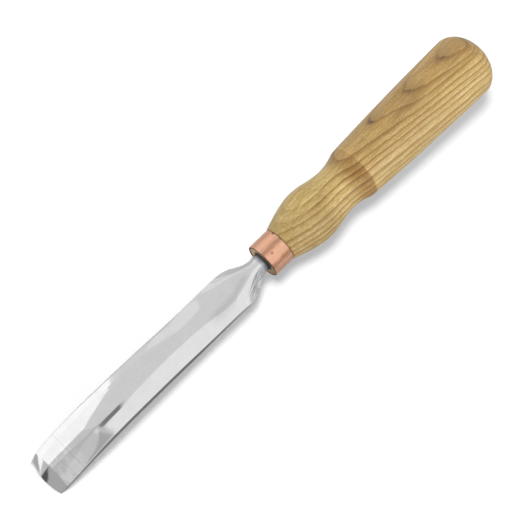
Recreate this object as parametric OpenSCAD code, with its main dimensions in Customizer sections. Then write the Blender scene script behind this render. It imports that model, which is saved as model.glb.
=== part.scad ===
/* [Blade] */
// Reach of the blade's spine from the ferrule's mouth, about 1 mm beyond the cutting edge
blade_len = 140.5; // [128:0.5:152]
// Width just ahead of the shoulders
shoulder_w = 20.6; // [17:0.2:23]
// Width at the widest place
belly_w = 21.8; // [19:0.2:25]
// Width of the cutting edge
edge_w = 19.8; // [17:0.2:23]
// Thickness along the middle
wall = 2.9; // [2.4:0.1:3.4]
// Rise of the back above the top of the sides
back_rise = 3.9; // [3:0.1:5]
// Rise of the back above the top of the sides at the shoulders, where it is flatter
shoulder_rise = 1.8; // [1.4:0.1:2.4]
// Height of the flat sides ahead of the shoulders and at the cutting edge
side_h = 2.2; // [1.6:0.1:2.6]
// Height of the flat sides halfway along the blade
side_mid_h = 3.4; // [2.6:0.1:4]
// Inward lean of the flat sides towards the back, halfway along the blade
side_lean = 0.4; // [0:0.1:0.8]
// Grinding angle of the bevel
bevel_angle = 20; // [17:1:28]
// Thickness left at the cutting edge
edge_t = 0.12; // [0.08:0.02:0.3]

/* [Bend] */
// Drop of the blade's middle below the shank's axis
blade_drop = 1.8; // [0.5:0.1:3]
// Angle at which the blade rises from the shank
rise_angle = 10; // [8:0.2:11]
// Radius of the bend at the neck
neck_bend_r = 110; // [90:5:130]
// Radius of the long bend behind the crown
rear_bend_r = 400; // [340:10:430]
// Radius of the bend between the crown and the cutting edge
front_bend_r = 120; // [110:2:180]

/* [Shank and tang] */
// Diameter of the round shank
shank_d = 9.4; // [8.6:0.2:10.2]
// Length of the shank that stays straight in front of the ferrule
shank_len = 5; // [3:0.5:8]
// Depth of the round shank in the handle
shank_depth = 8; // [6:0.5:11]
// Size across the square tang where it leaves the shank
tang_w = 5.6; // [4.8:0.2:6]
// Size across the square tang at its end
tang_end_w = 3.2; // [2.4:0.2:4.4]
// Depth of the tang's end in the handle
tang_depth = 72; // [50:1:95]

/* [Ferrule] */
// Outside diameter of the copper tube
ferrule_d = 18; // [17.6:0.1:18.6]
// Wall of the copper tube
ferrule_wall = 1; // [0.7:0.1:1.2]
// Length of the ferrule
ferrule_len = 12; // [10:0.5:14]
// Round-over of the ferrule's outer edges
ferrule_round = 0.5; // [0.2:0.1:0.7]
// Distance of the punch mark from the ferrule's mouth
punch_at = 4; // [3:0.5:8]
// Turn of the punch mark away from the top
punch_turn = 16; // [0:1:45]

/* [Handle] */
// Length of the handle from the ferrule's mouth to the butt
handle_len = 150; // [136:1:165]
// Depth of the wood's end face inside the ferrule's mouth
wood_recess = 0.4; // [0.2:0.1:1.2]
// Diameter of the bulb behind the ferrule
bulb_d = 27.8; // [25:0.2:30]
// Distance of the bulb from the ferrule's mouth
bulb_at = 32; // [28:0.5:35]
// Diameter of the waist
waist_d = 23.2; // [21:0.2:25]
// Distance of the waist from the ferrule's mouth
waist_at = 49.5; // [46:0.5:53]
// Diameter at the front edge of the grip
grip_d = 28; // [26:0.2:30]
// Distance of the grip's front edge from the ferrule's mouth
grip_at = 60.5; // [58:0.5:66]
// Diameter at the thick end of the grip
butt_d = 33.4; // [31:0.2:36]
// Depth of the domed butt
butt_dome = 11.5; // [9:0.5:16]

/* [Fits] */
// Adhesive between the round shank and its bore
shank_bed = 0.8; // [0.5:0.1:1.6]
// Adhesive between the corners of the tang and its bore
tang_bed = 0.3; // [0.2:0.1:0.6]
// Adhesive behind the shank's shoulder
shoulder_bed = 1; // [0.5:0.1:2]
// Adhesive beyond the end of the tang
end_bed = 2; // [1:0.5:5]

/* [Hidden] */
$fn = 96;

// The origin is the middle of the ferrule, on the handle's axis; the blade points to -X, its back to +Z
mouth_x = -ferrule_len / 2;

// Spine of the blade, by the length of steel in front of the ferrule's mouth
neck_end = shank_len + neck_bend_r * rise_angle * PI / 180;
crown_at = neck_end + rear_bend_r * rise_angle * PI / 180;
neck_rise = neck_bend_r * (1 - cos(rise_angle));
crown_rise = neck_rise + rear_bend_r * (1 - cos(rise_angle));
crown_x = shank_len + (neck_bend_r + rear_bend_r) * sin(rise_angle);
droop = asin((blade_len - crown_x) / front_bend_r);
edge_at = crown_at + front_bend_r * droop * PI / 180;

// Height of the back's middle over the spine
back_top = wall / 2 - blade_drop;

// Bevel and the stretches over which the sections change
bevel_len = (wall - edge_t) / tan(bevel_angle);
heel_at = edge_at - bevel_len;
heel_blend = 25;
shoulder_len = 24;
belly_at = crown_at + (heel_at - crown_at) / 2;
flare_from = -0.5;
flare_to = 17.6;
morph_to = 12;
wing_sink = 1.8;
sink_from = 4;
sink_to = 34;
rise_from = 20;
rise_full = 52;
side_full = 60;
shoulder_side = 1;
keel_from = 5;
keel_to = 40;
keel_half = 3.4;
keel_spread = 0.5;
keel_power = 4;
flute_from = 8;
flute_to = 42;
edge_taper = 5;

// Steps of the blade's mesh
arc_steps = 24;
shoulder_steps = 20;
body_steps = 24;
bevel_steps = 4;

// Small flat on the side of the shank, the rise under which an arc is a line, and the step to the tang
shank_flat = 0.3;
flat_rise = 0.001;
tang_step = 0.2;

// Bores of the handle and the seat of the ferrule
shank_bore_r = shank_d / 2 + shank_bed;
tang_bore_r = tang_w * sqrt(2) / 2 + tang_bed;
tang_from = shank_depth + tang_step;
shank_bore_end = tang_from + shoulder_bed;
tang_bore_end = tang_depth + end_bed;
ferrule_r = ferrule_d / 2;
tenon_r = ferrule_r - ferrule_wall;

// Turned outline of the handle: the lip behind the ferrule, the edge of the grip and the slopes between
lip_w = 0.4;
lip_h = 0.3;
lip_slope = 0.34;
grip_edge_w = 1.6;
grip_edge_drop = 0.7;
cove_slope = 0.36;
grip_slope = 0.06;
butt_slope = 0.015;
curve_steps = 10;
dome_steps = 14;
lip_steps = 6;

// Punch mark
punch_r = 1.3;
punch_depth = 0.3;

function mix(a, b, t) = a + (b - a) * t;
function smooth(t) = let (c = max(0, min(1, t))) c * c * (3 - 2 * c);
function ramp(u, from, to) = smooth((u - from) / (to - from));

// Place on the spine and its slope, at length u in front of the ferrule's mouth
function neck_turn(u) = (u - shank_len) / neck_bend_r * 180 / PI;
function crown_turn(u) = (crown_at - u) / (u < crown_at ? rear_bend_r : front_bend_r) * 180 / PI;
function slope(u) = u < shank_len ? 0 : u < neck_end ? neck_turn(u) : crown_turn(u);
function spine(u) =
    u < shank_len ? [-u, 0]
    : u < neck_end ? [-shank_len - neck_bend_r * sin(slope(u)), neck_bend_r * (1 - cos(slope(u)))]
    : let (r = u < crown_at ? rear_bend_r : front_bend_r)
      [-crown_x + r * sin(slope(u)), crown_rise - r * (1 - cos(slope(u)))];

// Half size of the square tang, and half width of the blade from the shank to the cutting edge
function in_tang(u) = u < -shank_depth;
function tang_half(u) =
    mix(tang_w, tang_end_w, (-u - tang_from) / (tang_depth - tang_from)) / 2;
function half_w(u) =
    u < flare_to ? mix(shank_d, shoulder_w, ramp(u, flare_from, flare_to)) / 2
    : u < belly_at ? mix(shoulder_w, belly_w, ramp(u, flare_to, belly_at)) / 2
    : mix(belly_w, edge_w, pow((u - belly_at) / (edge_at - belly_at), edge_taper)) / 2;

// Point of an arc of the given half width and rise, t running from -1 to 1 across it
function arc_point(half, top, rise, t) =
    abs(rise) < flat_rise ? [half * t, top]
    : let (r = (half * half + rise * rise) / (2 * rise), turn = 2 * atan(rise / half) * t)
      [r * sin(turn), top - r * (1 - cos(turn))];

// Points of the round shank, up being 1 for its top half and -1 for the other
function shank_point(t, up) =
    [shank_d / 2 * sin(90 * t), up * (shank_flat + (shank_d - shank_flat) * cos(90 * t)) / 2];

// Top and rise of the back's arc, which lies lower and flatter at the shoulders
function wing_top(u) = back_top - wing_sink * (1 - ramp(u, sink_from, sink_to));
function rise_at(u) = mix(shoulder_rise, back_rise, ramp(u, rise_from, rise_full));

// Height and bottom of the sides, low at the shoulders and deepest halfway along the blade
function halfway(u) = ramp(u, rise_from, side_full) * (1 - ramp(u, crown_at, heel_at));
function side_at(u) =
    u < rise_from ? mix(shoulder_side, side_h, ramp(u, sink_from, rise_from))
    : mix(side_h, side_mid_h, halfway(u));
function side_low(u) = wing_top(u) - rise_at(u) - side_at(u);

// Keel that carries the top of the shank out along the back and fans out there, and the middle of the flute
function keel_w(u) = keel_half + keel_spread * max(0, u - keel_from);
function keel(u, y) =
    (shank_d / 2 - wing_top(u)) * (1 - ramp(u, keel_from, keel_to))
    * exp(-pow(y / keel_w(u), keel_power));
function flute_top(u) = mix(-shank_d / 2, back_top - wall, ramp(u, flute_from, flute_to));

// Points of the back and of the flute over the spine, from the tang to the cutting edge
function back_point(u, t) =
    in_tang(u) ? tang_half(u) * [t, 1]
    : let (p = arc_point(half_w(u) - side_lean * halfway(u), wing_top(u), rise_at(u), t))
      mix(shank_point(t, 1), p + [0, keel(u, p[0])], ramp(u, 0, morph_to));
function flute_point(u, t) =
    in_tang(u) ? tang_half(u) * [t, -1]
    : let (p = arc_point(half_w(u), flute_top(u), flute_top(u) - side_low(u), t))
      mix(shank_point(t, -1), p, ramp(u, 0, morph_to));
function placed(u, p) =
    let (s = spine(u), turn = slope(u)) [s[0] + p[1] * sin(turn), p[0], s[1] + p[1] * cos(turn)];

// Stations along the blade as [length, how far the bevel is ground]
function bevel_run(t) = (mix(wall, side_h, t * t) - edge_t) / tan(bevel_angle);
function at_station(st, t) =
    st[1] > 0 ? edge_at - (1 - st[1]) * bevel_run(t)
    : st[0] + (bevel_len - bevel_run(t)) * ramp(st[0], heel_at - heel_blend, heel_at);
stations = concat(
    [for (u = [-tang_depth, -tang_from, -shank_depth, 0]) [u, 0]],
    [for (i = [1:shoulder_steps]) [shoulder_len * i / shoulder_steps, 0]],
    [for (i = [1:body_steps]) [mix(shoulder_len, heel_at, i / body_steps), 0]],
    [for (i = [1:bevel_steps]) [edge_at, i / bevel_steps]]);

// Points of one station: the back, ground away towards the cutting edge, then the flute
function ground_point(u, t, g) =
    let (b = back_point(u, t), f = flute_point(u, t)) [b[0], mix(b[1], f[1] + edge_t, g)];
function back_at(st, t) = let (u = at_station(st, t)) placed(u, ground_point(u, t, st[1]));
function flute_at(st, t) = let (u = at_station(st, t)) placed(u, flute_point(u, t));
across = [for (i = [0:arc_steps]) 2 * i / arc_steps - 1];
blade_points = [
    for (st = stations) each concat(
        [for (t = across) back_at(st, t)],
        [for (t = across) flute_at(st, t)])];

// Triangles between neighbouring stations: back, flute and the two sides, then the two ends
row = arc_steps + 1;
ring = 2 * row;
last = (len(stations) - 1) * ring;
function quad(a, b, c, d) = [[a, b, c], [a, c, d]];
blade_faces = concat(
    [for (k = [0:ring:last - ring], i = [0:arc_steps - 1])
        each quad(k + i, k + ring + i, k + ring + i + 1, k + i + 1)],
    [for (k = [row:ring:last - ring + row], i = [0:arc_steps - 1])
        each quad(k + i, k + i + 1, k + ring + i + 1, k + ring + i)],
    [for (k = [0:ring:last - ring]) each quad(k, k + row, k + ring + row, k + ring)],
    [for (k = [arc_steps:ring:last - ring + arc_steps])
        each quad(k, k + ring, k + ring + row, k + row)],
    [for (i = [0:arc_steps - 1]) each quad(i, i + 1, i + 1 + row, i + row)],
    [for (i = [last:last + arc_steps - 1]) each quad(i, i + row, i + 1 + row, i + 1)]);

// Outline of the handle from the lip to the butt as [radius, distance from the mouth]
function cubic(a, b, slope_a, slope_b, t) =
    (1 + 2 * t) * (1 - t) * (1 - t) * a + t * (1 - t) * (1 - t) * slope_a
    + t * t * (3 - 2 * t) * b - t * t * (1 - t) * slope_b;
function turned(x0, r0, s0, x1, r1, s1) =
    [for (i = [0:curve_steps - 1]) let (t = i / curve_steps, run = x1 - x0)
        [cubic(r0, r1, s0 * run, s1 * run, t), mix(x0, x1, t)]];
dome_x = handle_len - butt_dome;
grip_in = grip_at - grip_edge_w;
handle_outline = concat(
    [[ferrule_r, ferrule_len]],
    turned(ferrule_len + lip_w, ferrule_r + lip_h, lip_slope, bulb_at, bulb_d / 2, 0),
    turned(bulb_at, bulb_d / 2, 0, waist_at, waist_d / 2, 0),
    turned(waist_at, waist_d / 2, 0, grip_in, grip_d / 2 - grip_edge_drop, cove_slope),
    turned(grip_in, grip_d / 2 - grip_edge_drop, cove_slope, grip_at + grip_edge_w, grip_d / 2, grip_slope),
    turned(grip_at + grip_edge_w, grip_d / 2, grip_slope, dome_x, butt_d / 2, butt_slope),
    [for (i = [0:dome_steps]) let (a = 90 * i / dome_steps)
        [butt_d / 2 * cos(a), dome_x + butt_dome * sin(a)]]);

module along_axis() {
    translate([mouth_x, 0, 0])
        rotate([0, 90, 0])
            children();
}

module tang_form() {
    translate([0, 0, tang_from])
        linear_extrude(tang_depth - tang_from, scale = tang_end_w / tang_w)
            square(tang_w, center = true);
}

module blade() {
    color("gainsboro")
        translate([mouth_x, 0, 0])
            polyhedron(blade_points, blade_faces);
}

module handle() {
    bore = [
        [shank_bore_r, wood_recess], [shank_bore_r, shank_bore_end], [tang_bore_r, shank_bore_end],
        [tang_bore_r, tang_bore_end], [0, tang_bore_end]];
    tenon = [[tenon_r, ferrule_len], [tenon_r, wood_recess]];
    color("burlywood")
        along_axis()
            rotate_extrude()
                polygon(concat(bore, [for (i = [len(handle_outline) - 1:-1:0]) handle_outline[i]], tenon));
}

module ferrule() {
    lip = [for (i = [0:lip_steps]) let (a = 90 * i / lip_steps)
        [ferrule_r - ferrule_round * (1 - sin(a)), ferrule_round * (1 - cos(a))]];
    color("peru")
        along_axis()
            difference() {
                rotate_extrude()
                    polygon(concat(lip, [[ferrule_r, ferrule_len], [tenon_r, ferrule_len], [tenon_r, 0]]));
                rotate([0, 0, 180 + punch_turn])
                    translate([ferrule_r + punch_r - punch_depth, 0, punch_at])
                        sphere(punch_r);
            }
}

module tang_adhesive() {
    color("dimgray")
        along_axis()
            difference() {
                union() {
                    translate([0, 0, wood_recess])
                        cylinder(r = shank_bore_r, h = shank_bore_end - wood_recess);
                    translate([0, 0, wood_recess])
                        cylinder(r = tang_bore_r, h = tang_bore_end - wood_recess);
                }
                cylinder(d = shank_d, h = tang_from);
                tang_form();
            }
}

blade();
handle();
ferrule();
tang_adhesive();
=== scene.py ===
import math

import bmesh
import bpy
from mathutils import Matrix, Vector


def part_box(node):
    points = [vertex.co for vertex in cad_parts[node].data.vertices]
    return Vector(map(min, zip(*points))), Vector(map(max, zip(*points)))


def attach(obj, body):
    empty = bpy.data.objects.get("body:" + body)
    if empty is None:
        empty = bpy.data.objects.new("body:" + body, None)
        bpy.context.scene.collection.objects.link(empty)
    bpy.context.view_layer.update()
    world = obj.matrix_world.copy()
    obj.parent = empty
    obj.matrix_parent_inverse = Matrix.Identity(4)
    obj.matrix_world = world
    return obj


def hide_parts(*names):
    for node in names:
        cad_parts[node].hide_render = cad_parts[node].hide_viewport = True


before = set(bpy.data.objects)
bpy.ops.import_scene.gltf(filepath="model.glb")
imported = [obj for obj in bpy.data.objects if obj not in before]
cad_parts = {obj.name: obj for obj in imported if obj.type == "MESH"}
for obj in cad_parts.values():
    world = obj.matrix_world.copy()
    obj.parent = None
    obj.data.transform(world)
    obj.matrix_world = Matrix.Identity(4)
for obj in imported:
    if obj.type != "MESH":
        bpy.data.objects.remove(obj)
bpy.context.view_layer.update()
mm = 0.001
weldGap = 1e-6
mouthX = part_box("ferrule")[0].x  # the ferrule's mouth, from which all lengths along the tool are taken
print("frame loaded: mouth at", round(mouthX / mm, 2), "mm")

def deselectAll():
    if bpy.context.object and bpy.context.object.mode != "OBJECT":
        bpy.ops.object.mode_set(mode="OBJECT")
    bpy.ops.object.select_all(action="DESELECT")

def startRing(name, count, radius, along):
    # a circle around the tool's axis, left in edit mode with all of it selected
    deselectAll()
    bpy.ops.mesh.primitive_circle_add(vertices=count, radius=radius * mm, location=(mouthX + along * mm, 0, 0),
                                      rotation=(0, math.pi / 2, 0))
    piece = bpy.context.active_object
    piece.name = piece.data.name = name
    bpy.ops.object.transform_apply(location=True, rotation=True, scale=True)
    bpy.ops.object.mode_set(mode="EDIT")
    bpy.ops.mesh.select_all(action="SELECT")
    return piece

def extrudeAlong(distance):
    bpy.ops.mesh.extrude_region_move(TRANSFORM_OT_translate={"value": (distance * mm, 0, 0)})

def extrudeTurned(profile):
    # profile is a list of (distance from the mouth, radius); the selected ring is at the first of them
    for (fromX, fromR), (toX, toR) in zip(profile, profile[1:]):
        extrudeAlong(toX - fromX)
        grow = toR / fromR
        bpy.ops.transform.resize(value=(1, grow, grow), center_override=(mouthX + toX * mm, 0, 0))

def weldMesh():
    bpy.ops.mesh.select_all(action="SELECT")
    bpy.ops.mesh.remove_doubles(threshold=weldGap)
    bpy.ops.mesh.normals_make_consistent(inside=False)

def closeMesh(smoothAngle):
    weldMesh()
    bpy.ops.object.mode_set(mode="OBJECT")
    bpy.ops.object.shade_smooth_by_angle(angle=math.radians(smoothAngle))

def mix(a, b, t):
    return a + (b - a) * t

def ramp(value, start, end):
    t = min(1, max(0, (value - start) / (end - start)))
    return t * t * (3 - 2 * t)

# blade: one forging, lofted ring by ring from the end of the tang to the cutting edge

bladeSize = {
    "length": 140.5, "shoulderWidth": 20.6, "bellyWidth": 21.8, "edgeWidth": 19.8, "edgeTaper": 5,
    "wall": 2.9, "backRise": 3.9, "shoulderRise": 1.8, "sideHeight": 2.2, "sideMiddle": 3.4, "sideLean": 0.4,
    "bevelAngle": 20, "edgeThickness": 0.12, "heelBlend": 25,
    "drop": 1.8, "riseAngle": 10, "neckRadius": 110, "rearRadius": 400, "frontRadius": 120,
    "shank": 9.4, "shankFlat": 0.3, "shankStraight": 5, "shankDepth": 8,
    "tang": 5.6, "tangEnd": 3.2, "tangStep": 0.2, "tangDepth": 72,
    "flareFrom": -0.5, "flareTo": 17.6, "morphTo": 12, "shoulderLength": 24, "shoulderSide": 1,
    "riseFrom": 20, "riseFull": 52, "sideFull": 60,
    "wingSink": 1.8, "sinkFrom": 4, "sinkTo": 34,
    "keelFrom": 5, "keelTo": 40, "keelHalf": 3.4, "keelSpread": 0.5, "keelPower": 4,
    "fluteFrom": 8, "fluteTo": 42,
    # rings of the mesh: those close to a step hold it sharp
    "acrossSteps": 12, "besideArris": 0.975, "endHold": 0.4, "tangMiddle": 40, "stepHold": (1, 0.2),
    "shankHold": 0.3, "shankRings": (5, 2.5, 1, 0), "shoulderSteps": 22, "bodySteps": 28, "heelHold": 0.5,
    "groundSteps": (0.08, 0.35, 0.65, 0.92, 1),
    "creaseRing": 14, "arrisCrease": 0.4, "edgeCrease": 0.8, "subdivisions": 2, "smoothAngle": 16,
}
b = bladeSize
riseTurn = math.radians(b["riseAngle"])
neckEnd = b["shankStraight"] + b["neckRadius"] * riseTurn
crownAt = neckEnd + b["rearRadius"] * riseTurn
crownX = b["shankStraight"] + (b["neckRadius"] + b["rearRadius"]) * math.sin(riseTurn)
crownZ = (b["neckRadius"] + b["rearRadius"]) * (1 - math.cos(riseTurn))
edgeAt = crownAt + b["frontRadius"] * math.asin((b["length"] - crownX) / b["frontRadius"])
bevelSlope = math.tan(math.radians(b["bevelAngle"]))
bevelLength = (b["wall"] - b["edgeThickness"]) / bevelSlope
heelAt = edgeAt - bevelLength
bellyAt = (crownAt + heelAt) / 2
backTop = b["wall"] / 2 - b["drop"]
shankRadius = b["shank"] / 2
tangFrom = b["shankDepth"] + b["tangStep"]
flatRise = 0.001  # below this the section's arc is a straight line

def spineAt(u):
    # place and slope of the spine, u mm of steel in front of the mouth
    if u < b["shankStraight"]:
        return -u, 0, 0
    if u < neckEnd:
        turn, r = (u - b["shankStraight"]) / b["neckRadius"], b["neckRadius"]
        return -b["shankStraight"] - r * math.sin(turn), r * (1 - math.cos(turn)), turn
    r = b["rearRadius"] if u < crownAt else b["frontRadius"]
    turn = (crownAt - u) / r
    return -crownX + r * math.sin(turn), crownZ - r * (1 - math.cos(turn)), turn

def halfWidth(u):
    if u < b["flareTo"]:
        return mix(b["shank"], b["shoulderWidth"], ramp(u, b["flareFrom"], b["flareTo"])) / 2
    if u < bellyAt:
        return mix(b["shoulderWidth"], b["bellyWidth"], ramp(u, b["flareTo"], bellyAt)) / 2
    return mix(b["bellyWidth"], b["edgeWidth"], ((u - bellyAt) / (edgeAt - bellyAt)) ** b["edgeTaper"]) / 2

def sweep(half, top, rise, t):
    # a point of the swept section's arc, t from -1 to 1 across it
    if abs(rise) < flatRise:
        return half * t, top
    r = (half * half + rise * rise) / (2 * rise)
    turn = 2 * math.atan(rise / half) * t
    return r * math.sin(turn), top - r * (1 - math.cos(turn))

def tangHalf(u):
    return mix(b["tang"], b["tangEnd"], (-u - tangFrom) / (b["tangDepth"] - tangFrom)) / 2

def wingTop(u):
    return backTop - b["wingSink"] * (1 - ramp(u, b["sinkFrom"], b["sinkTo"]))

def riseAt(u):
    return mix(b["shoulderRise"], b["backRise"], ramp(u, b["riseFrom"], b["riseFull"]))

def halfway(u):
    return ramp(u, b["riseFrom"], b["sideFull"]) * (1 - ramp(u, crownAt, heelAt))

def sideAt(u):
    if u < b["riseFrom"]:
        return mix(b["shoulderSide"], b["sideHeight"], ramp(u, b["sinkFrom"], b["riseFrom"]))
    return mix(b["sideHeight"], b["sideMiddle"], halfway(u))

def fromShank(u, t, up, y, n):
    # the shank's round, which turns into the section by the end of the morph
    turn, morph = t * math.pi / 2, ramp(u, 0, b["morphTo"])
    height = up * (b["shankFlat"] + (b["shank"] - b["shankFlat"]) * math.cos(turn)) / 2
    return mix(shankRadius * math.sin(turn), y, morph), mix(height, n, morph)

def backPoint(u, t):
    if u < -b["shankDepth"]:
        return tangHalf(u) * t, tangHalf(u)
    y, n = sweep(halfWidth(u) - b["sideLean"] * halfway(u), wingTop(u), riseAt(u), t)
    keel = (shankRadius - wingTop(u)) * (1 - ramp(u, b["keelFrom"], b["keelTo"]))
    keelWidth = b["keelHalf"] + b["keelSpread"] * max(0, u - b["keelFrom"])
    return fromShank(u, t, 1, y, n + keel * math.exp(-(y / keelWidth) ** b["keelPower"]))

def flutePoint(u, t):
    if u < -b["shankDepth"]:
        return tangHalf(u) * t, -tangHalf(u)
    top = mix(-shankRadius, backTop - b["wall"], ramp(u, b["fluteFrom"], b["fluteTo"]))
    y, n = sweep(halfWidth(u), top, top - wingTop(u) + riseAt(u) + sideAt(u), t)
    return fromShank(u, t, -1, y, n)

def bevelRun(t):
    return (mix(b["wall"], b["sideHeight"], t * t) - b["edgeThickness"]) / bevelSlope

def bladeRing(u, ground, across):
    # back row from one side to the other, then the flute row back again
    points = []
    for up, ts in ((True, across), (False, across[::-1])):
        for t in ts:
            if ground > 0:
                at = edgeAt - (1 - ground) * bevelRun(t)
            else:
                at = u + (bevelLength - bevelRun(t)) * ramp(u, heelAt - b["heelBlend"], heelAt)
            y, n = flutePoint(at, t)
            if up:
                top = backPoint(at, t)
                y, n = top[0], mix(top[1], n + b["edgeThickness"], ground)
            x, z, turn = spineAt(at)
            points.append(Vector((mouthX / mm + x + n * math.sin(turn), y, z + n * math.cos(turn))) * mm)
    return points

def bladeStations():
    # (mm of steel in front of the mouth, share of the bevel that is ground there)
    places = [-b["tangDepth"], b["endHold"] - b["tangDepth"], -b["tangMiddle"]]
    places += [-tangFrom - gap for gap in b["stepHold"]]
    places += [-tangFrom, -b["shankDepth"], b["shankHold"] - b["shankDepth"]]
    places += [-u for u in b["shankRings"]]
    steps = b["shoulderSteps"]
    places += [b["shoulderLength"] * i / steps for i in range(1, steps + 1)]
    steps = b["bodySteps"]
    places += [mix(b["shoulderLength"], heelAt, i / steps) for i in range(1, steps)]
    places += [heelAt - b["heelHold"], heelAt]
    return [(u, 0) for u in places] + [(edgeAt, ground) for ground in b["groundSteps"]]

def buildBlade():
    steps = b["acrossSteps"]
    side = [i / steps for i in range(1, steps)] + [b["besideArris"], 1]
    across = [-t for t in side[::-1]] + [0] + side
    row = len(across)
    stations = bladeStations()
    piece = startRing("gougeBlade", 2 * row, tangHalf(-b["tangDepth"]), -b["tangDepth"])
    bm = bmesh.from_edit_mesh(piece.data)
    bm.verts.ensure_lookup_table()
    place = {v.index: i for i, v in enumerate(bm.verts)}  # where on the ring each vertex sits
    rings = []
    for k, (u, ground) in enumerate(stations):
        if k:
            extrudeAlong(-1)
            bm = bmesh.from_edit_mesh(piece.data)
            bm.verts.index_update()
            fresh = {}
            for v in bm.verts:
                if v.select:
                    nextTo = (e.other_vert(v).index for e in v.link_edges)
                    fresh[v.index] = next(place[index] for index in nextTo if index in place)
            place = fresh
        points = bladeRing(u, ground, across)
        bm.verts.ensure_lookup_table()
        for index, i in place.items():
            bm.verts[index].co = points[i]
        rings.append({i: index for index, i in place.items()})
        bmesh.update_edit_mesh(piece.data)

    def selectEdges(wanted):
        bpy.ops.mesh.select_mode(type="EDGE")
        bpy.ops.mesh.select_all(action="DESELECT")
        mesh = bmesh.from_edit_mesh(piece.data)
        for edge in mesh.edges:
            if frozenset(v.index for v in edge.verts) in wanted:
                edge.select_set(True)
        bmesh.update_edit_mesh(piece.data)

    def rowEdges(k, start):
        return [frozenset((rings[k][i], rings[k][i + 1])) for i in range(start, start + row - 1)]

    last = len(rings) - 1
    for k in (0, last):  # the tang's end and the cutting edge
        selectEdges(set(rowEdges(k, 0) + rowEdges(k, row)))
        bpy.ops.mesh.bridge_edge_loops()
    selectEdges({frozenset((rings[k][i], rings[k + 1][i])) for k in range(b["creaseRing"], last)
                 for i in (0, row - 1, row, 2 * row - 1)})
    bpy.ops.transform.edge_crease(value=b["arrisCrease"])
    heel = stations.index((heelAt, 0))
    selectEdges(set(rowEdges(heel, 0) + rowEdges(last, 0) + rowEdges(last, row)))
    bpy.ops.transform.edge_crease(value=b["edgeCrease"])
    bpy.ops.mesh.select_mode(type="VERT")
    bpy.ops.mesh.select_all(action="SELECT")
    bpy.ops.mesh.normals_make_consistent(inside=False)
    bpy.ops.object.mode_set(mode="OBJECT")
    modifier = piece.modifiers.new("Subsurf", "SUBSURF")
    modifier.levels = modifier.render_levels = b["subdivisions"]
    bpy.ops.object.modifier_apply(modifier=modifier.name)
    bpy.ops.object.shade_smooth_by_angle(angle=math.radians(b["smoothAngle"]))
    print("blade:", len(piece.data.polygons), "faces")
    return piece

blade = buildBlade()

# handle: turned from one piece of ash, with the stepped bore for the tang

handleSize = {
    "length": 150, "recess": 0.4, "tenon": 8, "ferruleLength": 12, "ferruleRadius": 9,
    "shankBore": 5.5, "shankBoreEnd": 9.2, "tangBore": 4.26, "tangBoreEnd": 74,
    "lipWidth": 0.4, "lipHeight": 0.3, "lipSlope": 0.34, "bulbAt": 32, "bulb": 13.9, "waistAt": 49.5, "waist": 11.6,
    "gripAt": 60.5, "grip": 14, "gripEdge": 1.6, "gripDrop": 0.7, "coveSlope": 0.36, "gripSlope": 0.06,
    "butt": 16.7, "buttSlope": 0.015, "dome": 11.5,
    "sides": 128, "strokeSteps": (20, 16, 12, 10, 16), "domeSteps": 24, "smoothAngle": 35,
}

def turnedCurve(start, end, steps):
    # one cutting stroke of the lathe, between two of (place, radius, slope)
    (x0, r0, slope0), (x1, r1, slope1) = start, end
    points = []
    run = x1 - x0
    for i in range(steps):
        t = i / steps
        r = ((1 + 2 * t) * (1 - t) ** 2 * r0 + t * (1 - t) ** 2 * slope0 * run
             + t * t * (3 - 2 * t) * r1 - t * t * (1 - t) * slope1 * run)
        points.append((mix(x0, x1, t), r))
    return points

def quarterTurn(steps):
    return [math.radians(90 * i / steps) for i in range(steps)]

def buildHandle():
    h = handleSize
    domeAt = h["length"] - h["dome"]
    profile = [(h["tangBoreEnd"], h["tangBore"]), (h["shankBoreEnd"], h["tangBore"]),
               (h["shankBoreEnd"], h["shankBore"]), (h["recess"], h["shankBore"]), (h["recess"], h["tenon"]),
               (h["ferruleLength"], h["tenon"]), (h["ferruleLength"], h["ferruleRadius"])]
    knots = [(h["ferruleLength"] + h["lipWidth"], h["ferruleRadius"] + h["lipHeight"], h["lipSlope"]),
             (h["bulbAt"], h["bulb"], 0), (h["waistAt"], h["waist"], 0),
             (h["gripAt"] - h["gripEdge"], h["grip"] - h["gripDrop"], h["coveSlope"]),
             (h["gripAt"] + h["gripEdge"], h["grip"], h["gripSlope"]), (domeAt, h["butt"], h["buttSlope"])]
    for start, end, steps in zip(knots, knots[1:], h["strokeSteps"]):
        profile += turnedCurve(start, end, steps)
    profile += [(domeAt + h["dome"] * math.sin(a), h["butt"] * math.cos(a)) for a in quarterTurn(h["domeSteps"])]
    piece = startRing("turnedHandle", h["sides"], profile[0][1], profile[0][0])
    bpy.ops.mesh.edge_face_add()  # bottom of the bore
    bpy.ops.mesh.select_all(action="SELECT")
    bpy.ops.mesh.region_to_loop()
    extrudeTurned(profile)
    extrudeAlong(h["length"] - profile[-1][0])
    bpy.ops.mesh.merge(type="CENTER")  # middle of the domed butt
    closeMesh(h["smoothAngle"])
    print("handle:", len(piece.data.polygons), "faces")
    return piece

handle = buildHandle()

# ferrule: a short length of copper tube with one punch mark

ferruleSize = {
    "length": 12, "radius": 9, "bore": 8, "round": 0.5, "innerRound": 0.15, "backRound": 0.12,
    "punchAt": 4, "punchTurn": 16, "punchRadius": 0.85, "punchDepth": 0.3, "punchPatch": 1.6, "punchCuts": 3,
    "sides": 128, "lipSteps": 6, "wallSteps": 30, "smoothAngle": 35,
}

def punchPlace():
    # the way out of the tube at the punch mark, and the mark's place in mm
    f = ferruleSize
    turn = math.radians(f["punchTurn"])
    outward = Vector((0, -math.sin(turn), math.cos(turn)))
    return outward, Vector((mouthX / mm + f["punchAt"], 0, 0)) + outward * f["radius"]

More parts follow.
